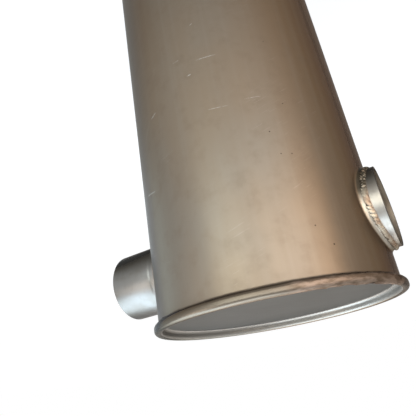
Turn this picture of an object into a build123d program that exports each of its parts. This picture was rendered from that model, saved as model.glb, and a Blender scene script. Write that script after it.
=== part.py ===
from build123d import *
from math import cos, pi, radians, sin, sqrt
import os

# A large round muffler with both of its ports near one end. It stands on its plain end.
# Lengths are millimetres. The origin is on the body's axis, in the plane of the bottom rim.
# +Z runs up the body to the end that carries the ports, and +X points out of the inlet.

# Body: a rolled shell, and two pressed end caps curled over the shell's flared ends.
body_length = 686.0
shell_radius = 143.0
sheet = 1.5
rim_proud = 6.0
rim_land = 2.0
rim_lip = 3.5
rim_height = 10.9
chords_per_bend = 2
cap_recess = 11.0
cap_corner_radius = 4.0
cap_clearance = 0.2
seam_gap = 0.2
flange_clearance = 0.7
seam_weld_width = 5.0
seam_weld_height = 0.7
seam_weld_turn = -112.0

# Ports: on one line across the body, each welded into a neck drawn out of the shell.
port_depth = 90.0
port_radius = 47.0
neck_height = 4.5
neck_bend = 4.0
neck_clearance = 0.2
port_weld_width = 2.6
port_weld_height = 3.2
port_weld_chamfer = 1.4

# Inlet collar: a short sleeve for an 88.9 mm pipe.
collar_bore_radius = 44.7
collar_proud = 12.5
collar_inside = 30.0

# Outlet stub: a pipe whose outer end is sized for a clamped tail pipe.
stub_wall = 2.0
stub_proud = 72.0
stub_inside = 76.0
stub_sizing = 0.6
stub_taper = 2.5

# Inlet elbow: it slips over the collar's inner end and turns the gas down the body. Its leg is
# what it has left under the bend.
elbow_wall = 1.5
elbow_bend = 100.0
elbow_overlap = 12.0
elbow_leg = 20.0
elbow_joints = 2
slip_clearance = 0.2

# Baffles: flanged plates. The upper one is placed by how far it lies under the ports' line, the
# other two by their height above the bottom rim.
baffle_sheet = 1.5
baffle_clearance = 0.2
baffle_flange = 15.0
upper_baffle_drop = 126.0
middle_baffle_height = 300.0
lower_baffle_height = 130.0
tube_clearance = 0.15

# Inner tubes.
tube_wall = 1.5
inlet_tube_overlap = 15.0
inlet_tube_overhang = 30.0
return_tube_radius = 30.0
return_tube_overhang = 24.0
return_tube_place = 62.0
tuning_tube_radius = 22.0
tuning_tube_length = 100.0
slot_length = 30.0
slot_width = 6.0
slot_pitch = 60.0
slot_rows = 2
inlet_slots_around = 8
return_slots_around = 6

# Tack welds that hold the inner pieces.
tack_leg = 3.0
tack_turn = 12.0
tacks_per_baffle = 6
tacks_per_tube = 4

# Sizes that follow from those above.
shell_bore = shell_radius - sheet
rim_radius = shell_radius + rim_proud
cap_wall_radius = shell_bore - cap_clearance - sheet
rim_bend = (rim_radius - cap_wall_radius - rim_land) / 2
lip_corner = rim_height - rim_lip / sqrt(2)
flare_start = rim_proud + lip_corner - (sheet + seam_gap) * sqrt(2)
bore_start = flare_start - sheet * (sqrt(2) - 1)
port_height = body_length - port_depth
neck_top = shell_radius + neck_height
weld_top = neck_top + port_weld_height
stub_neck_radius = port_radius - stub_sizing
collar_end = shell_radius - collar_inside
elbow_bore_radius = port_radius + slip_clearance
elbow_radius = elbow_bore_radius + elbow_wall
inlet_tube_radius = elbow_radius + slip_clearance + tube_wall
inlet_axis_x = collar_end - elbow_bend
elbow_end = port_height - elbow_bend - elbow_leg
inlet_tube_top = elbow_end + inlet_tube_overlap
baffle_radius = shell_bore - baffle_clearance
upper_baffle_height = port_height - upper_baffle_drop


def arc_points(centre, radius, start, end, flats):
    """Points along an arc about a centre, from one angle to another in degrees."""
    turns = [radians(start + (end - start) * i / flats) for i in range(flats + 1)]
    return [(centre[0] + radius * cos(a), centre[1] + radius * sin(a)) for a in turns]


def spun(points, axis=Axis.Z, turn=360):
    """A section turned about Z from (radius, height) points, or about X from (x, radius) points."""
    section = make_face(Polyline(*points, close=True))
    if axis == Axis.Z:
        section = Plane.XZ * section
    return revolve(section, axis, turn)


def pipe(outer, inner, bottom, top):
    """A straight round tube about Z between two heights."""
    return spun([(inner, bottom), (outer, bottom), (outer, top), (inner, top)])


def end_cap():
    """The bottom end cap: a plate set back in a wall whose edge is rolled outward and up."""
    corner = (cap_wall_radius - cap_corner_radius, cap_recess - cap_corner_radius)
    roll_in = (cap_wall_radius + rim_bend, rim_bend)
    roll_out = (rim_radius - rim_bend, rim_bend)
    inner_side = rim_radius - sheet
    inner_corner = lip_corner - sheet * (sqrt(2) - 1)
    lean = rim_lip / sqrt(2)
    tip = (rim_radius - lean, rim_height)
    outer_face = [(0, cap_recess)] + arc_points(corner, cap_corner_radius, 90, 0, 1)
    outer_face += arc_points(roll_in, rim_bend, 180, 270, chords_per_bend)
    outer_face += arc_points(roll_out, rim_bend, 270, 360, chords_per_bend)
    outer_face += [(rim_radius, lip_corner), tip]
    inner_face = [(0, cap_recess + sheet), (cap_wall_radius + sheet, cap_recess + sheet)]
    inner_face += [(cap_wall_radius + sheet, sheet), (inner_side, sheet), (inner_side, inner_corner)]
    inner_face += [(tip[0] - sheet / sqrt(2), rim_height - sheet / sqrt(2))]
    return spun(outer_face + inner_face[::-1])


def turned_over(piece):
    """A piece of the bottom end as it stands at the top end."""
    return Pos(0, 0, body_length) * Rot(180, 0, 0) * piece


def flare(inside):
    """What one face of the bottom flare encloses: a cone at 45 degrees out to the flange's tip."""
    reach = rim_proud - sheet - flange_clearance
    slant = sheet / sqrt(2)
    end = flare_start - reach - slant
    root, tip = (shell_radius + reach - slant, end), (shell_radius + reach, end + slant)
    if inside:
        return spun([(0, end), root, (shell_bore, bore_start), (0, bore_start)])
    return spun([(0, end), root, tip, (shell_radius, flare_start), (0, flare_start)])


def barrel(radius, start):
    """A plain cylinder on the body's axis, which stops as far from the top as from the bottom."""
    length = body_length - 2 * start
    return Pos(0, 0, body_length / 2) * Rot(0, 0, 90) * Cylinder(radius, length)


def out_of_port(radius, reach, side):
    """A cylinder from the body's axis out through one port: side 1 is the inlet, -1 the outlet."""
    return Pos(side * reach / 2, 0, port_height) * Rot(0, 90, 0) * Cylinder(radius, reach)


def with_ports(blank, wall):
    """A blank with a boss at each port, as wide as the bore of that port's neck and a wall."""
    reach = shell_radius + neck_height + 8 * neck_bend
    collar_neck = port_radius + neck_clearance + wall
    stub_neck = stub_neck_radius + neck_clearance + wall
    return blank + out_of_port(collar_neck, reach, 1) + out_of_port(stub_neck, reach, -1)


def neck_roots(solid):
    """The curved edges where the bosses of the ports leave the body."""
    return solid.edges().filter_by(GeomType.BSPLINE)


def shell():
    """The rolled shell with its flared ends and its two drawn necks, all in one sheet."""
    outside = with_ports(barrel(shell_radius, flare_start), sheet)
    outside = fillet(neck_roots(outside), neck_bend) & barrel(neck_top, flare_start)
    inside = with_ports(barrel(shell_bore, bore_start), 0)
    inside = chamfer(neck_roots(inside), (neck_bend + sheet) * (2 - sqrt(2)))
    outside += flare(False) + turned_over(flare(False))
    inside += flare(True) + turned_over(flare(True))
    return outside - inside


def shell_seam_weld():
    """The flattened bead along the shell's one lengthwise joint."""
    bead_radius = (seam_weld_width**2 / 4 + seam_weld_height**2) / (2 * seam_weld_height)
    middle = shell_radius + seam_weld_height - bead_radius
    section = Pos(middle, 0) * Circle(bead_radius) - Circle(shell_radius)
    length = body_length - 2 * (rim_height + sheet)
    bead = Pos(0, 0, rim_height + sheet) * extrude(section, length)
    return Rot(0, 0, seam_weld_turn) * bead


def port_weld(tube_radius, side):
    """The bead that joins a tube to the edge of its neck and follows the edge round the body."""
    ring = out_of_port(tube_radius + port_weld_width, weld_top + port_weld_width, side)
    ring -= out_of_port(tube_radius, weld_top + 2 * port_weld_width, side)
    height = 2 * (tube_radius + 2 * port_weld_width)
    layer = Pos(0, 0, port_height) * (Cylinder(weld_top, height) - Cylinder(neck_top, height))
    bead = ring & layer
    crest = bead.edges().filter_by(GeomType.BSPLINE).sort_by(lambda e: -e.length)[0]
    return chamfer(crest, port_weld_chamfer)


def inlet_collar():
    """The short sleeve that stands through the inlet neck."""
    collar = spun(
        [
            (collar_end, collar_bore_radius),
            (shell_radius + collar_proud, collar_bore_radius),
            (shell_radius + collar_proud, port_radius),
            (collar_end, port_radius),
        ],
        Axis.X,
    )
    return Pos(0, 0, port_height) * collar


def outlet_stub():
    """The outlet pipe, a little smaller where it passes through its neck than at its sized end."""
    mouth = shell_radius + stub_proud
    narrow = weld_top + seam_gap
    wide = narrow + stub_taper
    inner_end = shell_radius - stub_inside
    outer_face = [(inner_end, stub_neck_radius), (narrow, stub_neck_radius)]
    outer_face += [(wide, port_radius), (mouth, port_radius)]
    inner_face = [(x, r - stub_wall) for x, r in outer_face]
    stub = spun(outer_face + inner_face[::-1], Axis.X)
    return Pos(0, 0, port_height) * Rot(0, 0, 180) * stub


def inlet_elbow():
    """A bend of straight stretches, mitred where they meet."""
    joints = arc_points(
        (collar_end, port_height - elbow_bend),
        elbow_bend / cos(pi / 4 / elbow_joints),
        90,
        180,
        2 * elbow_joints,
    )
    route = [(collar_end + elbow_overlap, port_height)] + joints[1::2] + [(inlet_axis_x, elbow_end)]
    path = Polyline(*[(x, 0, z) for x, z in route])
    ring = Plane(origin=path @ 0, z_dir=path % 0) * (Circle(elbow_radius) - Circle(elbow_bore_radius))
    return sweep(ring, path, transition=Transition.RIGHT)


def slotted(tube, radius, around, turn):
    """A tube at the origin with rows of lengthwise slots, centred in the middle chamber."""
    middle = (upper_baffle_height + middle_baffle_height) / 2
    for row in range(slot_rows):
        height = middle + (row - (slot_rows - 1) / 2) * slot_pitch
        for place in range(around):
            angle = turn + 360 * place / around
            slot = Box(4 * tube_wall, slot_width, slot_length)
            tube -= Rot(0, 0, angle) * Pos(radius, 0, height) * slot
    return tube


def inlet_tube():
    """The tube that carries the gas on from the elbow to the chamber under the middle baffle."""
    bottom = middle_baffle_height - inlet_tube_overhang
    tube = pipe(inlet_tube_radius, inlet_tube_radius - tube_wall, bottom, inlet_tube_top)
    turn = 180 / inlet_slots_around
    return Pos(inlet_axis_x, 0, 0) * slotted(tube, inlet_tube_radius, inlet_slots_around, turn)


def return_place(side):
    """Where a return tube stands: side 1 is towards +Y."""
    return Pos(-return_tube_place, side * return_tube_place, 0)


def return_tube(side):
    """A tube that brings the gas back up to the chamber of the outlet."""
    bottom = middle_baffle_height - return_tube_overhang
    top = upper_baffle_height + return_tube_overhang
    tube = pipe(return_tube_radius, return_tube_radius - tube_wall, bottom, top)
    return return_place(side) * slotted(tube, return_tube_radius, return_slots_around, 0)


def baffle(height, holes):
    """A round plate with a flange turned down against the shell, and a hole for each tube."""
    inner = baffle_radius - baffle_sheet
    low, under = height - baffle_flange, height - baffle_sheet
    outline = [(0, height), (baffle_radius, height), (baffle_radius, low)]
    outline += [(inner, low), (inner, under), (0, under)]
    plate = spun(outline)
    for place, radius in holes:
        hole = place * Pos(0, 0, under) * Cylinder(radius + tube_clearance, 4 * baffle_sheet)
        plate -= hole
    return plate


def tube_holes():
    """The place and the tube radius of each hole that the upper two baffles share."""
    inlet = (Pos(inlet_axis_x, 0, 0), inlet_tube_radius)
    returns = [(return_place(side), return_tube_radius) for side in (1, -1)]
    return [inlet] + returns


def tuning_tube():
    """The open tube that joins the two lowest chambers."""
    bottom = lower_baffle_height - tuning_tube_length / 2
    inner = tuning_tube_radius - tube_wall
    return pipe(tuning_tube_radius, inner, bottom, bottom + tuning_tube_length)


def tacks(points, count, axis=Axis.Z):
    """Short welds of one section, spaced evenly round an axis, as separate solids."""
    first = spun(points, axis, tack_turn)
    return [first.rotate(axis, 360 * i / count) for i in range(count)]


def baffle_tacks(height):
    """The welds under a baffle's flange that fix it to the shell."""
    low = height - baffle_flange
    points = [(shell_bore, low), (shell_bore, low - tack_leg), (shell_bore - tack_leg, low)]
    return Compound(tacks(points, tacks_per_baffle))


def tube_tacks(height, holes):
    """The welds on top of a baffle that fix its tubes."""
    found = []
    for place, radius in holes:
        points = [(radius, height), (radius + tack_leg, height), (radius, height + tack_leg)]
        found += [place * tack for tack in tacks(points, tacks_per_tube)]
    return Compound(found)


def slip_tacks():
    """The welds at the top of the inlet tube that fix it to the elbow's leg."""
    top = inlet_tube_top
    points = [(elbow_radius, top), (inlet_tube_radius, top), (elbow_radius, top + tack_leg)]
    return Compound([Pos(inlet_axis_x, 0, 0) * tack for tack in tacks(points, tacks_per_tube)])


def elbow_tacks():
    """The welds at the elbow's mouth that fix it to the collar."""
    edge = collar_end + elbow_overlap
    points = [(edge, port_radius), (edge + tack_leg, port_radius), (edge, elbow_radius)]
    found = tacks(points, tacks_per_tube, Axis.X)
    return Compound([Pos(0, 0, port_height) * tack for tack in found])


def pieces():
    """Every piece by the name of its file."""
    tuning_hole = [(Pos(0, 0, 0), tuning_tube_radius)]
    return {
        "shell": shell(),
        "shell_seam_weld": shell_seam_weld(),
        "top_end_cap": turned_over(end_cap()),
        "bottom_end_cap": end_cap(),
        "inlet_collar": inlet_collar(),
        "inlet_weld": port_weld(port_radius, 1),
        "outlet_stub": outlet_stub(),
        "outlet_weld": port_weld(stub_neck_radius, -1),
        "inlet_elbow": inlet_elbow(),
        "elbow_tacks": elbow_tacks(),
        "inlet_tube": inlet_tube(),
        "inlet_tube_tacks": slip_tacks(),
        "left_return_tube": return_tube(1),
        "right_return_tube": return_tube(-1),
        "upper_baffle": baffle(upper_baffle_height, tube_holes()),
        "middle_baffle": baffle(middle_baffle_height, tube_holes()),
        "lower_baffle": baffle(lower_baffle_height, tuning_hole),
        "upper_baffle_tacks": baffle_tacks(upper_baffle_height),
        "middle_baffle_tacks": baffle_tacks(middle_baffle_height),
        "lower_baffle_tacks": baffle_tacks(lower_baffle_height),
        "return_tube_tacks": tube_tacks(upper_baffle_height, tube_holes()),
        "tuning_tube": tuning_tube(),
        "tuning_tube_tacks": tube_tacks(lower_baffle_height, tuning_hole),
    }


os.makedirs("parts", exist_ok=True)
for name, piece in pieces().items():
    export_step(piece, f"parts/{name}.step")
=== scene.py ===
from math import cos, pi, radians, sin, sqrt, tau

import bmesh
import bpy
from mathutils import Matrix, Quaternion, Vector, noise

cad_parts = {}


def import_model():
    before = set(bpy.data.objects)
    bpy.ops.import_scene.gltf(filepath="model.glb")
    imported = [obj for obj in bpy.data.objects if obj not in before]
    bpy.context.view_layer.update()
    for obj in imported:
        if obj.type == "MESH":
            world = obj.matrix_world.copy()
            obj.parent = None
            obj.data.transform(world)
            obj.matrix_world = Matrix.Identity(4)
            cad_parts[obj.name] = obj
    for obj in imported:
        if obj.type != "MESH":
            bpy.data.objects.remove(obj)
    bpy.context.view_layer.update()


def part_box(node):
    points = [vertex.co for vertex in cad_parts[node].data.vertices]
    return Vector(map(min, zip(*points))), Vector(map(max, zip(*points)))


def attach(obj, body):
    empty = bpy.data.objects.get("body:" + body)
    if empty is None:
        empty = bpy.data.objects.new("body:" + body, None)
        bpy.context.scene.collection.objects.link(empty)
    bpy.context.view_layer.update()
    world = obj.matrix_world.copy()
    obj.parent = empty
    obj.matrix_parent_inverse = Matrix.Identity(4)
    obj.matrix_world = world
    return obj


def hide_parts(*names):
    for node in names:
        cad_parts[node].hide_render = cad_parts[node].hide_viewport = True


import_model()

# Sizes are in metres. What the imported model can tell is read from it.
body_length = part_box("top_end_cap")[1].z
rim_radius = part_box("top_end_cap")[1].y
cap_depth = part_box("bottom_end_cap")[1].z
neck_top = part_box("shell")[1].x
collar_end, collar_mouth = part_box("inlet_collar")[0].x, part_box("inlet_collar")[1].x
collar_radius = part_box("inlet_collar")[1].y
port_height = (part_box("inlet_collar")[0].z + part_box("inlet_collar")[1].z) / 2
stub_mouth, stub_end = -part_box("outlet_stub")[0].x, -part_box("outlet_stub")[1].x
port_weld_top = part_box("inlet_weld")[1].x
seam_low, seam_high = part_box("shell_seam_weld")[0].z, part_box("shell_seam_weld")[1].z

# The shell with its necks and its flared ends. A bend is how far a corner's rounding reaches along
# its sides. For a right angle that is its radius.
sheet = 0.0015
clearance = 0.0002
neck_height = 0.0045
neck_bend, neck_inner_bend = 0.004, 0.0048
neck_edge_bend, neck_bore_bend = 0.0004, 0.0003
shell_radius = neck_top - neck_height
flare_start = 0.01202
flare_reach = 0.0038
flare_bend, flare_bore_bend = 0.0016, 0.0024

# How far the sheet that is drawn with a neck reaches, and how far it laps over the barrel at least.
patch_radius = 0.068
patch_lap = 0.006

# The tubes and the beads round them.
collar_wall = 0.0023
collar_bore = collar_radius - collar_wall
stub_sizing = 0.0006
stub_neck_radius = collar_radius - stub_sizing
stub_wall = 0.002
stub_taper = 0.0025
inner_end_bend = 0.0003
collar_mouth_bend, collar_bore_bend = 0.0005, 0.0006
stub_taper_bend, stub_mouth_bend = 0.001, 0.0004
bead_width = 0.0026
bead_lap = 0.0004
bead_sink = 0.0006
bead_bend = 0.0011
dabs_per_bead = 66
dab_height, lump_height = 0.0006, 0.0003

# The end caps.
cap_recess = cap_depth - sheet
cap_wall_radius = shell_radius - 2 * sheet - clearance
cap_corner = 0.004
rim_height = 0.0109
rim_bend = 0.0044
rim_lip = 0.0025
rim_lip_bend, rim_edge_bend = 0.0016, 0.0005

# The rough stretch of the top rim, by azimuth.
scuff_start, scuff_pit, scuff_end = radians(8), radians(30), radians(66)

# The bead along the shell.
seam_azimuth = radians(-112)
seam_width = 0.0052
seam_crown = 0.0007

# How finely the round shapes are made.
rim_steps = 192
port_steps = 144
weld_steps = 640
bend_steps = 8
fine_bend, fine_bend_steps = 0.001, 3
sharp_edge = radians(38)

# How much two neighbouring bends differ where they have to be rounded one after the other.
bend_gap = 0.00001


# Shapes


def clamped(value):
    """A value kept between 0 and 1."""
    return min(1, max(0, value))


def turned(outline, axis, steps, closed=True):
    """A mesh spun about an axis from (radius, place along the axis, bend) corners.

    Corners of one bend are rounded together, and small bends before wide ones.
    """
    mesh = bmesh.new()
    corners = [mesh.verts.new((r, 0, p) if axis == "Z" else (p, 0, r)) for r, p, bend in outline]
    ends = corners[1:] + corners[:1] if closed else corners[1:]
    for pair in zip(corners, ends):
        mesh.edges.new(pair)
    for bend in sorted({bend for r, p, bend in outline if bend}):
        bmesh.ops.bevel(
            mesh,
            geom=[corner for corner, (r, p, b) in zip(corners, outline) if b == bend],
            affect="VERTICES",
            offset_type="OFFSET",
            offset=bend,
            segments=fine_bend_steps if bend < fine_bend else bend_steps,
            profile=0.5,
            material=-1,
        )
    bmesh.ops.spin(
        mesh,
        geom=mesh.verts[:] + mesh.edges[:],
        cent=(0, 0, 0),
        axis=(0, 0, 1) if axis == "Z" else (1, 0, 0),
        dvec=(0, 0, 0),
        angle=tau,
        steps=steps,
        use_merge=True,
        use_duplicate=False,
    )
    bmesh.ops.remove_doubles(mesh, verts=mesh.verts, dist=1e-7)
    bmesh.ops.recalc_face_normals(mesh, faces=mesh.faces)
    return mesh


def at_port(mesh):
    """A mesh that was made about the X axis, moved up to the ports' line."""
    bmesh.ops.translate(mesh, verts=mesh.verts, vec=(0, 0, port_height))
    return mesh


def wrapped(mesh):
    """A mesh that was made as if the body were flat at X = 0, laid round the body at the port."""
    for v in mesh.verts:
        v.co.x = sqrt((shell_radius + v.co.x) ** 2 - v.co.y**2)
    return at_port(mesh)


def turned_to_outlet(mesh):
    """A mesh of the inlet's side moved to the outlet's side."""
    bmesh.ops.rotate(mesh, verts=mesh.verts, cent=(0, 0, 0), matrix=Matrix.Rotation(pi, 3, "Z"))
    return mesh


def turned_to_top(mesh):
    """A mesh of the bottom end moved to the top end."""
    bmesh.ops.rotate(mesh, verts=mesh.verts, cent=(0, 0, 0), matrix=Matrix.Rotation(pi, 3, "X"))
    bmesh.ops.translate(mesh, verts=mesh.verts, vec=(0, 0, body_length))
    return mesh


def linked(name, data):
    """A new object of the scene."""
    made = bpy.data.objects.new(name, data)
    bpy.context.scene.collection.objects.link(made)
    return made


def piece(name, meshes, slot, *nodes):
    """Makes one object of these meshes, smooth but for its sharp edges, in place of its CAD nodes."""
    data = bpy.data.meshes.new(name)
    whole = bmesh.new()
    for mesh in meshes:
        mesh.to_mesh(data)
        mesh.free()
        whole.from_mesh(data)
    for face in whole.faces:
        face.smooth = True
    for edge in whole.edges:
        edge.smooth = edge.is_boundary or edge.calc_face_angle(0) < sharp_edge
    whole.to_mesh(data)
    whole.free()
    data.materials.append(bpy.data.materials[slot])
    made = linked(name, data)
    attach(made, "root")
    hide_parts(*nodes)


def barrel():
    """The rolled sheet with both ends flared, open where the ports go through."""
    ring_pitch, rings_each_way = 0.005, 14
    port_rings = [port_height + ring_pitch * i for i in range(-rings_each_way, rings_each_way + 1)]
    slant = sheet / sqrt(2)
    lip = flare_start - flare_reach
    half = [
        (shell_radius + flare_reach - slant, lip - slant, 0),
        (shell_radius + flare_reach, lip, 0),
        (shell_radius, flare_start, flare_bend),
    ]
    inner = [(shell_radius - sheet, flare_start - sheet * (sqrt(2) - 1), flare_bore_bend)]
    over = [(r, body_length - z, bend) for r, z, bend in half[::-1]]
    outside = half + [(shell_radius, z, 0) for z in port_rings] + over
    inside = [(r, body_length - z, bend) for r, z, bend in inner]
    inside += [(shell_radius - sheet, z, 0) for z in port_rings[::-1]] + inner
    mesh = turned(outside + inside, "Z", rim_steps)
    cut = [f for f in mesh.faces if all(in_port(v.co, patch_radius - patch_lap) for v in f.verts)]
    bmesh.ops.delete(mesh, geom=cut, context="FACES")
    return mesh


def in_port(place, radius):
    """Whether a place on the barrel lies within a radius of the line through both ports."""
    return sqrt(place.y**2 + (place.z - port_height) ** 2) < radius


def neck(tube_radius):
    """The drawn neck of a port with the sheet around it, a hair outside and inside the barrel's."""
    inner = tube_radius + clearance
    outer = inner + sheet
    hair, ring_pitch, ring_count = 0.00002, 0.0035, 4
    first_ring = outer + neck_bend + 0.001
    rings = [first_ring + ring_pitch * i for i in range(ring_count)]
    outside = [(r, hair, 0) for r in [patch_radius] + rings[::-1]]
    outside += [
        (outer, hair, neck_bend),
        (outer, neck_height, neck_edge_bend),
        (inner, neck_height, neck_bore_bend),
    ]
    inside = [(inner, -sheet - hair, neck_inner_bend)]
    inside += [(r, -sheet - hair, 0) for r in rings + [patch_radius]]
    return wrapped(turned(outside + inside, "X", port_steps))


def port_weld(tube_radius):
    """The hand-laid bead between a neck's edge and its tube, with a ripple for each dab."""
    crown = port_weld_top - shell_radius
    foot = neck_height - bead_sink
    outline = [
        (tube_radius - bead_lap, foot, 0),
        (tube_radius + bead_width, foot, 0),
        (tube_radius + bead_width + 0.0003, neck_height + 0.0013, bead_bend),
        (tube_radius + bead_width - 0.0009, crown - 0.0001, bead_bend + bend_gap),
        (tube_radius - bead_lap, crown + 0.001, 0),
    ]
    mesh = turned(outline, "X", weld_steps)
    mesh.normal_update()
    # Darkness of the dips between dabs, and painted shade on the bead's low side.
    hollows_and_shade = mesh.verts.layers.float.new("hollow_and_shade")
    for v in mesh.verts:
        height, v[hollows_and_shade] = dab(v.co.copy(), (v.co.x - neck_height) / (crown - neck_height))
        v.co += v.normal * height
    return wrapped(mesh)


def dab(place, level):
    """How far a bead's surface stands out at a place, and how dark it is there, in the dips between its
    dabs and from painted shade.

    Level is 0 at the neck's edge and 1 at the bead's top. The bead's low side is painted darker as shade.
    """
    turn = Vector((place.y, place.z)).angle_signed(Vector((0, 1)), 0)
    uneven = noise.noise(Vector((place.y * 60, place.z * 60, 4)))
    wander = 1.6 * noise.noise(Vector((place.y * 70, place.z * 70, 0)))
    lump = noise.noise(Vector((place.y * 180, place.z * 180, place.x * 300)))
    swell = abs(sin(pi * (turn / tau * dabs_per_bead + wander - level * 0.45)))
    low_side = clamped(0.3 - 1.6 * cos(turn))
    between_dabs = (1 - swell) ** 2 * clamped(1.1 - level) * clamped(0.7 + 1.6 * uneven)
    # Painted shade: the bead's low side is darkened.
    bead_low_shade = low_side * clamped(0.75 + 0.9 * uneven - 1.5 * level * swell)
    height = dab_height * (0.7 + 0.9 * uneven) * (swell - 0.72) + lump_height * lump
    return height, max(between_dabs, bead_low_shade)


def collar():
    """The inlet's short sleeve, its mouth slightly rounded."""
    outer_ring, inner_ring = collar_mouth - 0.004, collar_mouth - 0.006
    outline = [
        (collar_bore, collar_end, inner_end_bend),
        (collar_radius, collar_end, inner_end_bend),
        (collar_radius, shell_radius, 0),
        (collar_radius, outer_ring, 0),
        (collar_radius, collar_mouth, collar_mouth_bend),
        (collar_bore, collar_mouth, collar_bore_bend),
        (collar_bore, inner_ring, 0),
    ]
    return at_port(turned(outline, "X", port_steps))


def stub():
    """The outlet's pipe, narrower where it passes through its neck than at its sized end."""
    narrow = port_weld_top + clearance
    outside = [
        (stub_neck_radius, stub_end, inner_end_bend),
        (stub_neck_radius, narrow, stub_taper_bend),
        (collar_radius, narrow + stub_taper, stub_taper_bend),
        (collar_radius, stub_mouth, stub_mouth_bend),
    ]
    inside = [(r - stub_wall, x, bend) for r, x, bend in outside[::-1]]
    return turned_to_outlet(at_port(turned(outside + inside, "X", port_steps)))


def end_cap():
    """The bottom end cap: a plate set back in a wall whose edge is rolled over the flare."""
    corner = rim_height - rim_lip
    inner_rim = rim_radius - sheet
    outline = [
        (0, cap_recess, 0),
        (cap_wall_radius, cap_recess, cap_corner),
        (cap_wall_radius, 0, rim_bend),
        (rim_radius, 0, rim_bend + bend_gap),
        (rim_radius, corner, rim_lip_bend),
        (rim_radius - rim_lip, rim_height, rim_edge_bend),
        (rim_radius - rim_lip - sheet / sqrt(2), rim_height - sheet / sqrt(2), 0),
        (inner_rim, corner - sheet * (sqrt(2) - 1), 0),
        (inner_rim, sheet, rim_bend - sheet),
        (cap_wall_radius + sheet, sheet, rim_bend - sheet),
        (cap_wall_radius + sheet, cap_depth, cap_corner + sheet / 2),
        (0, cap_depth, 0),
    ]
    return turned(outline, "Z", rim_steps, closed=False)


def roughened(mesh):
    """The top rim with the uneven stretch where its roll was closed by hand."""
    fade_in, fade_out = 0.25, 0.2
    dent_depth, tuck_depth, sag_depth = 0.0011, 0.0026, 0.0012
    for v in mesh.verts:
        radius = Vector((v.co.x, v.co.y)).length
        if radius < cap_wall_radius - 0.0005 or v.co.z < body_length - rim_height - sheet:
            continue
        turn = Vector((1, 0)).angle_signed(Vector((v.co.x, -v.co.y)), 0)
        window = clamped(min((turn - scuff_start) / fade_in, (scuff_end - turn) / fade_out))
        if window:
            place = Vector((turn * 26, v.co.z * 110, radius * 150))
            out = Vector((v.co.x, v.co.y, 0)) / radius
            wave = 0.5 * noise.noise(place) + 0.3 * noise.noise(place * 2.7)
            fold = noise.noise(Vector((turn * 17, 0, 5))) + 0.5 * noise.noise(Vector((turn * 43, 0, 2)))
            upper = clamped((v.co.z - body_length + 0.0075) / 0.005)
            inner = clamped((cap_wall_radius + 0.005 - radius) / 0.004)
            dent = dent_depth * max(0, 0.25 - wave)
            tuck = tuck_depth * upper * inner * max(0, 0.1 + fold)
            sag = sag_depth * max(0, 0.4 - noise.noise(place + Vector((7, 3, 1))))
            v.co -= out * window * (dent + tuck)
            v.co.z -= window * sag
    return mesh


def seam():
    """The flattened bead along the shell's lengthwise joint."""
    ripple_pitch, drift, sink = 0.0027, 0.00035, 0.00003
    mesh = bmesh.new()
    bmesh.ops.create_grid(mesh, x_segments=12, y_segments=900, size=0.5)
    for v in mesh.verts:
        across, height = v.co.x * seam_width, seam_low + (v.co.y + 0.5) * (seam_high - seam_low)
        phase = height / ripple_pitch + (across / seam_width) ** 2 * 2.6
        wander = noise.noise(Vector((0, height * 60, 1))) * drift
        bulge = 1 - (2 * v.co.x) ** 2
        crown = seam_crown * bulge * (0.86 + 0.12 * abs(sin(pi * phase))) - sink
        turn = seam_azimuth + (across + wander) / shell_radius
        reach = shell_radius + crown
        v.co = (reach * cos(turn), reach * sin(turn), height)
    bmesh.ops.recalc_face_normals(mesh, faces=mesh.faces)
    return mesh


# Colours, as red, green, blue and alpha

shell_warm, shell_cool = (0.168, 0.13, 0.095, 1), (0.162, 0.14, 0.115, 1)
# Painted shade: the shell is darkened towards its plain end.
shell_painted_end_shade = (0.11, 0.088, 0.068, 1)
# Painted shade and reflections on the shell's sides: darker brown on the inlet's side, greyer with a paler
# edge on the outlet's.
shell_inlet_painted_shade = (0.135, 0.092, 0.058, 1)
shell_outlet_painted_reflection, shell_outlet_edge_painted_reflection = (0.16, 0.152, 0.138, 1), (0.25, 0.245, 0.235, 1)
shell_mottle = (0.12, 0.09, 0.065, 1)
shell_streak = (0.2, 0.175, 0.145, 1)
shell_scratch = (0.4, 0.385, 0.36, 1)
# Dark pits and burns, also used for painted shade in the crevice by each rim.
shell_pits_burns_and_shade = (0.03, 0.022, 0.017, 1)
# The necks' painted highlight, and the painted shade of their low side.
neck_painted_highlight, neck_painted_shade = (0.38, 0.345, 0.29, 1), (0.04, 0.036, 0.027, 1)

plate_dark, plate_pale = (0.138, 0.134, 0.124, 1), (0.152, 0.148, 0.138, 1)
plate_mottle = (0.11, 0.1, 0.088, 1)
# Painted light: the wall round each plate, paler than the plate.
wall_painted_light = (0.27, 0.245, 0.215, 1)
# The rims' own soiled brown tone, painted browner on the inlet's side as shade.
rim_inlet_shade, rim_outlet_side = (0.12, 0.096, 0.072, 1), (0.1, 0.096, 0.084, 1)
# Painted shade on the outer side of each roll.
rim_roll_shade = (0.07, 0.053, 0.038, 1)
# A pit's dark colour, also used for painted shade in the crevice by each rim.
rim_pit_and_shade = (0.03, 0.024, 0.02, 1)
scuff_pale, scuff_dark = (0.2, 0.15, 0.118, 1), (0.1, 0.07, 0.05, 1)

collar_clouds = (0.245, 0.22, 0.188, 1), (0.285, 0.272, 0.25, 1)
collar_mottle = (0.15, 0.125, 0.095, 1)
stub_clouds = (0.15, 0.141, 0.128, 1), (0.18, 0.174, 0.165, 1)
stub_mottle = (0.125, 0.11, 0.093, 1)
# Painted shade for the tubes' low side.
tube_low_side_shade = (0.04, 0.038, 0.033, 1)
tube_heat = (0.2, 0.13, 0.095, 1)
tube_bore = (0.16, 0.125, 0.09, 1)
tube_cut = (0.03, 0.026, 0.021, 1)

weld_straw, weld_brown = (0.36, 0.315, 0.25, 1), (0.25, 0.185, 0.135, 1)
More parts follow.
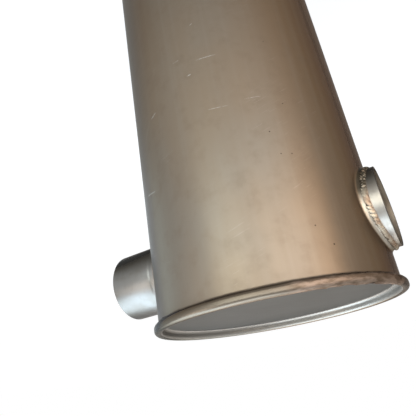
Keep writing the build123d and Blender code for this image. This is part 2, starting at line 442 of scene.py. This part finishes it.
# Painted shade for the port beads' low side.
weld_low_side_shade = (0.034, 0.03, 0.022, 1)
# Dark dips between dabs, also used for painted shade on the beads' low side.
weld_hollow_and_shade = (0.04, 0.032, 0.024, 1)

inner_dark, inner_pale = (0.3, 0.27, 0.23, 1), (0.4, 0.38, 0.35, 1)


# Finishes


class Field:
    """A value that changes over a surface, for use in Python sums."""

    def __init__(self, finish, socket):
        self.finish, self.socket = finish, socket

    def maths(self, operation, *others):
        """What a Math node makes of this value and others."""
        values = dict(enumerate((self,) + others))
        return self.finish.node("Math", {"operation": operation}, values)

    def __add__(self, other):
        return self.maths("ADD", other)

    def __radd__(self, other):
        return self.maths("ADD", other)

    def __sub__(self, other):
        return self.maths("SUBTRACT", other)

    def __rsub__(self, other):
        return self.maths("MULTIPLY", -1).maths("ADD", other)

    def __mul__(self, other):
        return self.maths("MULTIPLY", other)

    def __rmul__(self, other):
        return self.maths("MULTIPLY", other)

    def __abs__(self):
        return self.maths("ABSOLUTE")

    def max(self, other):
        return self.maths("MAXIMUM", other)

    def min(self, other):
        return self.maths("MINIMUM", other)


class Finish:
    """One material or world and the nodes that make it."""

    def __init__(self, owner):
        owner.use_nodes = True
        self.tree = owner.node_tree
        self.tree.nodes.clear()

    def node(self, kind, settings=None, values=None, output=0):
        """Adds a node with its settings and socket values or links, and gives one of its outputs."""
        made = self.tree.nodes.new("ShaderNode" + kind)
        for key, value in (settings or {}).items():
            setattr(made, key, value)
        for key, value in (values or {}).items():
            socket = made.inputs[key]
            if isinstance(value, Field):
                self.tree.links.new(value.socket, socket)
            else:
                socket.default_value = value
        return Field(self, made.outputs[output]) if made.outputs else made

    def place(self):
        """The place on the object, in metres."""
        return self.node("TexCoord", output="Object")

    def axes(self, vector):
        """The three numbers of a vector."""
        first = self.node("SeparateXYZ", values={0: vector})
        outputs = first.socket.node.outputs
        return [Field(self, outputs[i]) for i in range(3)]

    def moved(self, vector, centre=(0, 0, 0), turn=(0, 0, 0), scale=(1, 1, 1)):
        """A vector taken from a centre, turned and then scaled."""
        values = {"Vector": vector, "Location": centre, "Rotation": turn}
        local = self.node("Mapping", {"vector_type": "TEXTURE"}, values)
        return self.node("VectorMath", {"operation": "MULTIPLY"}, {0: local, 1: scale})

    def noise(self, vector, scale=1, detail=3, roughness=0.55):
        """Smooth noise about 0.5."""
        values = {"Vector": vector, "Scale": scale, "Detail": detail, "Roughness": roughness}
        return self.node("TexNoise", {"noise_dimensions": "3D"}, values)

    def ramp(self, value, low, high, start=0, end=1):
        """A smooth change from start to end as value goes from low to high."""
        values = {"Value": value, 1: low, 2: high, 3: start, 4: end}
        return self.node("MapRange", {"interpolation_type": "SMOOTHSTEP"}, values)

    def blend(self, first, second, amount):
        """A colour between two colours."""
        return self.node("Mix", {"data_type": "RGBA"}, {0: amount, 6: first, 7: second}, output=2)

    def clouded(self, first, second, clouds):
        """A colour that drifts between two colours."""
        return self.blend(first, second, self.ramp(clouds, 0.35, 0.65))

    def layered(self, colour, *layers):
        """A colour with others laid over it one by one, each as far as its mask says."""
        for other, mask in layers:
            colour = self.blend(colour, other, mask)
        return colour

    def metal(self, colour, roughness, bump, bump_depth, metallic, stretch=0.0):
        """Ends a material as dull metal with fine relief; stretch draws its gloss out upwards."""
        normal = self.node("Bump", values={"Strength": 1.0, "Distance": bump_depth, "Height": bump})
        values = {
            "Base Color": colour,
            "Roughness": roughness,
            "Metallic": metallic,
            "Normal": normal,
            "Specular IOR Level": 0.2,
            "Specular Tint": (0.18, 0.13, 0.08, 1),
            "Anisotropic": stretch,
            "Anisotropic Rotation": 0.25,
        }
        shader = self.node("BsdfPrincipled", values=values)
        self.node("OutputMaterial", values={"Surface": shader})


def from_axis(first, second):
    """How far a place lies from an axis, by its two distances at right angles to it."""
    return (first * first + second * second).maths("SQRT")


# Light scratches on the shell: azimuth and height of the middle, length, width, tilt from level, and
# how strongly each shows.
scratches = [
    (76.1, 0.4029, 0.028, 0.0007, -4, 0.7),
    (85.7, 0.4181, 0.007, 0.0010, 6, 0.9),
    (80.0, 0.3470, 0.005, 0.0008, 29, 0.6),
    (75.2, 0.4747, 0.027, 0.0006, -6, 0.5),
    (59.6, 0.4721, 0.021, 0.0005, 1, 0.5),
    (111.0, 0.4382, 0.013, 0.0011, 15, 0.8),
    (91.3, 0.3896, 0.010, 0.0007, -3, 0.5),
    (123.5, 0.5290, 0.034, 0.0008, -13, 0.8),
    (119.2, 0.4504, 0.030, 0.0006, 46, 0.4),
]

# Small dark pits in the shell: azimuth, height and radius.
specks = [
    (42.0, 0.6453, 0.0011),
    (47.7, 0.6254, 0.0009),
    (53.7, 0.5449, 0.0008),
    (49.1, 0.5459, 0.0008),
    (47.1, 0.4833, 0.0008),
    (48.1, 0.3951, 0.0007),
    (56.1, 0.5175, 0.0009),
]


def mark_place(finish, place, azimuth, height, tilt=0):
    """Places measured from the middle of a mark: along it, out of the shell and across it."""
    turn = radians(azimuth)
    centre = (shell_radius * cos(turn), shell_radius * sin(turn), height)
    moved = finish.moved(place, centre, (0, 0, turn + pi / 2))
    if tilt:
        moved = finish.moved(moved, turn=(0, radians(-tilt), 0))
    return finish.axes(moved)


def scratch_mask(finish, place):
    """1 on the shell's light scratches, and 0 elsewhere."""
    total = 0
    ragged = finish.noise(place, 900, 2)
    for azimuth, height, length, width, tilt, strength in scratches:
        along, out, across = mark_place(finish, place, azimuth, height, tilt)
        lengthwise = finish.ramp(abs(along), length / 2, length / 4)
        sideways = finish.ramp(abs(across), width, width / 5)
        near = finish.ramp(abs(out), 0.03, 0.02)
        total = total + lengthwise * sideways * near * strength
    return total * finish.ramp(ragged, 0.35, 0.6)


def hairline_mask(finish, place):
    """Faint hairlines where the shell is rubbed, and 0 elsewhere."""
    hair = finish.noise(finish.moved(place, turn=(0.5, 0.2, 0), scale=(30, 30, 1500)), 1, 2, 0.5)
    rubbed = finish.noise(place, 14, 3, 0.6)
    return finish.ramp(hair, 0.66, 0.76) * finish.ramp(rubbed, 0.5, 0.66) * 0.35


def speck_mask(finish, place):
    """1 in the shell's small dark pits, and 0 elsewhere."""
    total = 0
    for azimuth, height, radius in specks:
        along, out, across = mark_place(finish, place, azimuth, height)
        spread = along * along + across * across + out * out
        total = total + finish.ramp(spread, radius**2, radius**2 / 4)
    return total


def grain(finish, place):
    """Fine brush lines round the body, with broader ones among them."""
    along, across = 12, 1900
    fine = finish.noise(finish.moved(place, scale=(along, along, across)), 1, 3, 0.6)
    broad = finish.noise(finish.moved(place, scale=(along / 4, along / 4, across / 6)), 1, 2, 0.5)
    return fine * 0.6 + broad * 0.4


def shell_finish():
    """Satin sheet with brush lines, soft clouds, scratches and pits.

    Its colour is painted darker and browner on the inlet's side as shade, greyer with a paler edge on
    the outlet's side as reflection, and darker towards its plain end as shade. Its necks are painted
    pale as a highlight, with painted shade on their low side, and have burnt edges. Painted shade lies
    where each rim closes on the flare.
    """
    finish = Finish(bpy.data.materials["shell_steel"])
    place = finish.place()
    x, y, z = finish.axes(place)
    lines = grain(finish, place)
    clouds = finish.noise(finish.moved(place, scale=(7, 7, 3.5)), 1, 3, 0.5)
    mottle = finish.noise(place, 55, 4, 0.6)
    streaks = finish.noise(finish.moved(place, scale=(110, 110, 2.5)), 1, 3, 0.6)
    light = scratch_mask(finish, place) + hairline_mask(finish, place)
    dark = speck_mask(finish, place)
    # Painted shade in the crevice by each rim.
    crevice_shade = rim_crevice_shade(finish, place)[0]
    rise = from_axis(x, y) - shell_radius
    drawn = finish.ramp(rise, 0.0001, 0.0012) * finish.ramp(abs(z - port_height), 0.064, 0.06)
    burnt = finish.ramp(finish.noise(place, 330, 2), 0.56, 0.64) * finish.ramp(rise, 0.0024, 0.0036)
    # Painted shade on the low side of the necks.
    low_side_shade = finish.ramp(z, port_height + 0.012, port_height - 0.014)
    mottled = finish.ramp(mottle, 0.45, 0.8) * finish.ramp(x, -0.04, -0.11, 0.4, 0.12)
    colour = finish.layered(
        finish.clouded(shell_warm, shell_cool, clouds),
        # Painted shade, darker towards the plain end.
        (shell_painted_end_shade, finish.ramp(z, 0.46, 0.24) * 0.5),
        # Painted reflections, greyer on the outlet's side with a paler edge, and painted shade, darker and
        # browner, on the inlet's side.
        (shell_outlet_painted_reflection, finish.ramp(x, -0.04, -0.11) * 0.85),
        (shell_outlet_edge_painted_reflection, finish.ramp(x, -0.095, -0.125) * 0.6),
        (shell_inlet_painted_shade, finish.ramp(x, 0.06, 0.14) * 0.85),
        (shell_mottle, mottled),
        (shell_streak, finish.ramp(streaks, 0.4, 0.8) * 0.14),
        # The necks are painted pale as a highlight, with painted shade on their low side.
        (finish.blend(neck_painted_highlight, neck_painted_shade, low_side_shade), drawn * 0.85),
        (shell_scratch, light.min(1)),
        # Dark pits and burnt neck edges, and painted shade in the crevices by the rims.
        (shell_pits_burns_and_shade, dark.max(crevice_shade).max(burnt * drawn).min(1)),
    )
    roughness = 0.32 + lines * 0.08 + mottle * 0.09 + light * 0.1
    relief = lines * 0.5 + clouds * 2.0 + mottle * 0.6 - light * 0.8 - dark * 1.5
    finish.metal(colour, roughness, relief, 0.00004, 0.8, stretch=0.4)


def cap_finish():
    """Pressed plate with a faint brush and mottling, and the scuffed stretch of the top rim. The wall
    round each plate is painted paler as light, and the rims carry painted shade.
    """
    finish = Finish(bpy.data.materials["cap_steel"])
    place = finish.place()
    x, y, z = finish.axes(place)
    lines = finish.noise(finish.moved(place, turn=(0, 0, 0.5), scale=(900, 14, 900)), 1, 3, 0.6)
    mottle = finish.noise(place, 40, 4, 0.6)
    clouds = finish.noise(place, 9, 3, 0.5)
    smear = finish.noise(finish.moved(place, scale=(40, 40, 160)), 1, 4, 0.65)
    rim, wall, scuff, pit = rim_marks(finish, place)
    # Painted shade in the crevice by each rim and on the roll's outer side.
    crevice_shade, roll_shade = rim_crevice_shade(finish, place)
    # Painted shade: the rims are browner towards the inlet's side, over their own soiled tone.
    rim_colour = finish.blend(rim_inlet_shade, rim_outlet_side, finish.ramp(x, -0.03, -0.12))
    scuff_colour = finish.blend(scuff_pale, scuff_dark, finish.ramp(smear, 0.42, 0.6))
    colour = finish.layered(
        finish.clouded(plate_dark, plate_pale, clouds),
        (plate_mottle, finish.ramp(mottle, 0.5, 0.8) * 0.15),
        (rim_colour, rim * 0.85),
        # Painted shade on the roll's outer side.
        (rim_roll_shade, roll_shade * 0.7),
        # Painted light: the wall is paler than the plate.
        (wall_painted_light, wall * 0.85),
        (scuff_colour, scuff * 0.9),
        # A real pit, and painted shade in the crevice.
        (rim_pit_and_shade, pit.max(crevice_shade)),
    )
    roughness = 0.29 + lines * 0.08 + mottle * 0.02 + scuff * 0.16
    relief = lines * 0.4 + mottle * 0.08 + scuff * smear * 6
    finish.metal(colour, roughness, relief, 0.00005, 0.82 - wall * 0.25)


def rim_marks(finish, place):
    """The rolled rims, the wall round each plate, and the top rim's rough brown stretch and pit."""
    x, y, z = finish.axes(place)
    wander, pit_scale = 0.12, 0.073
    turn = y.maths("ARCTAN2", x) + finish.noise(place, 60, 3, 0.6) * wander
    reach = from_axis(x, y)
    rim = finish.ramp(reach, cap_wall_radius - 0.0004, cap_wall_radius + 0.0012)
    wall = finish.ramp(abs(reach - cap_wall_radius + 0.0012), 0.0032, 0.002)
    top = finish.ramp(z, body_length - 0.02, body_length - 0.015)
    begun = finish.ramp(turn, scuff_start, scuff_start + 0.12)
    ended = finish.ramp(turn, scuff_end + 0.1, scuff_end - 0.1)
    along = (turn - wander / 2 - scuff_pit) * pit_scale
    across = reach - cap_wall_radius - 0.0052
    pit = finish.ramp(along * along + across * across, 0.0000034, 0.0000014)
    return rim, wall, begun * ended * rim * top, pit * top


def rim_crevice_shade(finish, place):
    """Painted shade where each rolled rim closes on the shell's flare, and painted shade on the roll's
    outer side beside it.
    """
    x, y, z = finish.axes(place)
    from_end = z.min(body_length - z)
    spread = abs(from_end - rim_height - 0.0006) + finish.noise(place, 25, 3, 0.6) * 0.004
    outside = finish.ramp(from_axis(x, y), shell_radius - 0.002, shell_radius - 0.001)
    groove_shade = finish.ramp(spread, 0.0044, 0.0018) * outside * 0.85
    roll_shade = finish.ramp(from_end, 0.0035, 0.008) * outside
    return groove_shade, roll_shade


def tube_finish(slot, clouds_colours, mottle_colour, mouth):
    """Tube with lines round it, tinted by heat at its weld, a dark cut edge and a brown bore.

    Its low side is painted dark as shade.
    """
    finish = Finish(bpy.data.materials[slot])
    place = finish.place()
    x, y, z = finish.axes(place)
    lines = finish.noise(finish.moved(place, scale=(1500, 14, 14)), 1, 3, 0.6)
    clouds = finish.noise(place, 22, 3, 0.5)
    mottle = finish.noise(place, 120, 4, 0.6)
    rise = from_axis(x, y) - (port_weld_top - mottle * 0.0016)
    high = z - port_height
    heat = finish.ramp(rise, 0.0028, 0.0014) * finish.ramp(high, -0.03, 0.005, 0.35, 1)
    bore = finish.ramp(from_axis(y, high), collar_bore + 0.0006, collar_bore + 0.0002)
    cut = finish.ramp(abs(x), mouth - 0.0008, mouth - 0.0003)
    colour = finish.layered(
        finish.clouded(*clouds_colours, clouds),
        (mottle_colour, finish.ramp(mottle, 0.5, 0.8) * 0.4),
        # Painted shade on the low side.
        (tube_low_side_shade, finish.ramp(high, 0.002, -0.026) * 0.85),
        (tube_heat, heat * 0.75),
        (tube_bore, bore * 0.8),
        (tube_cut, cut * 0.85),
    )
    roughness = 0.26 + lines * 0.1 + mottle * 0.08 + bore * 0.15
    finish.metal(colour, roughness, lines * 0.5 + mottle * 0.6, 0.00004, 0.85)


def weld_finish():
    """Weld metal, straw to brown, darker where its dabs dip; the port beads' low side is painted dark as
    shade, broken by flecks.
    """
    finish = Finish(bpy.data.materials["weld_steel"])
    place = finish.place()
    x, y, z = finish.axes(place)
    tint = finish.noise(place, 90, 3, 0.6)
    grit = finish.noise(place, 900, 3, 0.6)
    # Dips between dabs, and painted shade on the beads' low side.
    hollow_and_shade = finish.node("Attribute", {"attribute_name": "hollow_and_shade"}, output="Fac")
    at_ports = finish.ramp(abs(x), 0.1, 0.12)
    # Painted shade on the low side of the port beads.
    low_side_shade = finish.ramp(z, port_height + 0.008, port_height - 0.018) * at_ports
    flecks = finish.ramp(finish.noise(place, 420, 2), 0.54, 0.62) * 0.8
    colour = finish.layered(
        finish.blend(weld_straw, weld_brown, finish.ramp(tint, 0.4, 0.65)),
        # Painted shade on the beads' low side, broken by light flecks.
        (weld_low_side_shade, low_side_shade * (0.95 - flecks)),
        (weld_hollow_and_shade, finish.ramp(hollow_and_shade - flecks * low_side_shade, 0.2, 0.6)),
    )
    finish.metal(colour, 0.3 + grit * 0.25 + (hollow_and_shade + low_side_shade) * 0.2, grit, 0.0001, 0.8)


def inner_finish():
    """Plain mill finish of the pieces inside."""
    finish = Finish(bpy.data.materials["inner_steel"])
    place = finish.place()
    clouds = finish.noise(place, 18, 3, 0.5)
    grit = finish.noise(place, 500, 3, 0.6)
    colour = finish.clouded(inner_dark, inner_pale, clouds)
    finish.metal(colour, 0.42 + grit * 0.15, grit, 0.00005, 0.7)


# The studio

camera_place = Vector((0.18768, 0.48677, 0.74759))
camera_aim = Vector((-0.02792, 0.07902, 0.55457))
camera_roll = radians(170.01)
camera_lens = 36.307
sensor_width = 36
backdrop_white = (1, 1, 1, 1)
fill_light, fill_strength = (0.92, 0.96, 1, 1), 0.12
floor_grey = (0.12, 0.12, 0.12, 1)
floor_near, floor_far = (0.84, 0.84, 0.84, 1), (0.97, 0.97, 0.97, 1)
near_radius, far_radius = 0.3, 0.9
sun_spread = radians(50)


def look_at(made, place, aim, roll=0.0):
    """Stands a camera or a lamp at a place and turns it to look at another."""
    made.location = place
    made.rotation_mode = "QUATERNION"
    look = (aim - place).to_track_quat("-Z", "Y")
    made.rotation_quaternion = look @ Quaternion((0, 0, 1), roll)


def camera():
    """The camera at the photograph's angle: the port end is nearest, and the view is upside down."""
    data = bpy.data.cameras.new("camera")
    data.lens = camera_lens
    data.sensor_width = sensor_width
    data.clip_start, data.clip_end = 0.01, 100
    made = linked("camera", data)
    look_at(made, camera_place, camera_aim, camera_roll)
    bpy.context.scene.camera = made


def lamp(name, azimuth, elevation, power, colour, width=0.55, distance=1.1):
    """A lamp that looks at the port end: a soft square panel, or a wide sun where it has no width."""
    aim, turn, rise = Vector((0, 0, port_height)), radians(azimuth), radians(elevation)
    data = bpy.data.lights.new(name, "AREA" if width else "SUN")
    if width:
        data.shape, data.size = "SQUARE", width
    else:
        data.angle = sun_spread
    data.energy = power
    data.color = colour
    made = linked(name, data)
    way = Vector((cos(turn) * cos(rise), sin(turn) * cos(rise), sin(rise)))
    look_at(made, aim + distance * way, aim)


def lamps():
    """Low panels that draw soft bands up the body, and lamps above them for the ports and the rim."""
    lamp("panel_1", 25, -6, 4.8, (1.0, 0.82, 0.66))
    lamp("panel_2", 50, -6, 5.0, (1.0, 0.96, 0.91))
    lamp("panel_3", 75, -6, 4.1, (0.96, 1.0, 0.99))
    lamp("panel_4", 100, -6, 4.5, (0.9, 1.0, 0.97))
    lamp("panel_5", 125, -6, 0.6, (0.88, 0.98, 1.0))
    lamp("middle_panel", 132, 18, 2.2, (1.0, 0.9, 0.8), width=0.5)
    lamp("side_panel", 190, -12, 7.0, (0.5, 0.76, 1.0), width=0.9)
    lamp("sky_panel", 168, 46, 32.0, (0.66, 0.84, 1.0), width=1.15, distance=1.4)
    lamp("high_panel", 95, 62, 9.0, (0.76, 0.89, 1.0), width=0.75)
    lamp("back_panel", 245, 58, 11.0, (0.95, 0.97, 1.0), width=0.9)
    lamp("overhead_sun", 90, 82, 0.7, (0.92, 0.96, 1.0), width=None)


def floor():
    """A wide pale floor under the muffler, a little greyer near it."""
    mesh = bmesh.new()
    bmesh.ops.create_grid(mesh, x_segments=1, y_segments=1, size=12)
    data = bpy.data.meshes.new("floor")
    mesh.to_mesh(data)
    mesh.free()
    made = linked("floor", data)
    material = bpy.data.materials.new("pale_floor")
    finish = Finish(material)
    x, y, z = finish.axes(finish.place())
    pale = finish.blend(floor_near, floor_far, finish.ramp(from_axis(x, y), near_radius, far_radius))
    lit = finish.node("BsdfDiffuse", values={"Color": floor_grey})
    glow = finish.node("Emission", values={"Color": pale, "Strength": 1.0})
    both = finish.node("AddShader", values={0: lit, 1: glow})
    surface = finish.node("MixShader", values={0: seen(finish), 1: lit, 2: both})
    finish.node("OutputMaterial", values={"Surface": surface})
    data.materials.append(material)


def seen(finish):
    """1 for rays from the camera, in reflections and through glass, and 0 for those that light."""
    path = finish.node("LightPath", output="Is Camera Ray").socket.node.outputs
    names = "Is Camera Ray", "Is Glossy Ray", "Is Transmission Ray"
    by_camera, by_gloss, by_glass = [Field(finish, path[name]) for name in names]
    return by_camera.max(by_gloss).max(by_glass)


def world():
    """A white backdrop that lights the object softly."""
    made = bpy.data.worlds.new("studio")
    finish = Finish(made)
    backdrop = finish.node("Background", values={"Color": backdrop_white, "Strength": 1.0})
    light = finish.node("Background", values={"Color": fill_light, "Strength": fill_strength})
    surface = finish.node("MixShader", values={0: seen(finish), 1: light, 2: backdrop})
    finish.node("OutputWorld", values={"Surface": surface})
    bpy.context.scene.world = made


shell_finish()
cap_finish()
tube_finish("collar_steel", collar_clouds, collar_mottle, collar_mouth)
tube_finish("stub_steel", stub_clouds, stub_mottle, stub_mouth)
weld_finish()
inner_finish()

necks = [neck(collar_radius), turned_to_outlet(neck(stub_neck_radius))]
piece("body_shell", [barrel()] + necks, "shell_steel", "shell")
piece("body_seam_bead", [seam()], "weld_steel", "shell_seam_weld")
piece("port_end_cap", [roughened(turned_to_top(end_cap()))], "cap_steel", "top_end_cap")
piece("plain_end_cap", [end_cap()], "cap_steel", "bottom_end_cap")
piece("collar_sleeve", [collar()], "collar_steel", "inlet_collar")
piece("collar_bead", [port_weld(collar_radius)], "weld_steel", "inlet_weld")
piece("stub_pipe", [stub()], "stub_steel", "outlet_stub")
piece("stub_bead", [turned_to_outlet(port_weld(stub_neck_radius))], "weld_steel", "outlet_weld")

floor()
world()
lamps()
camera()

scene = bpy.context.scene
scene.view_settings.view_transform = "Standard"
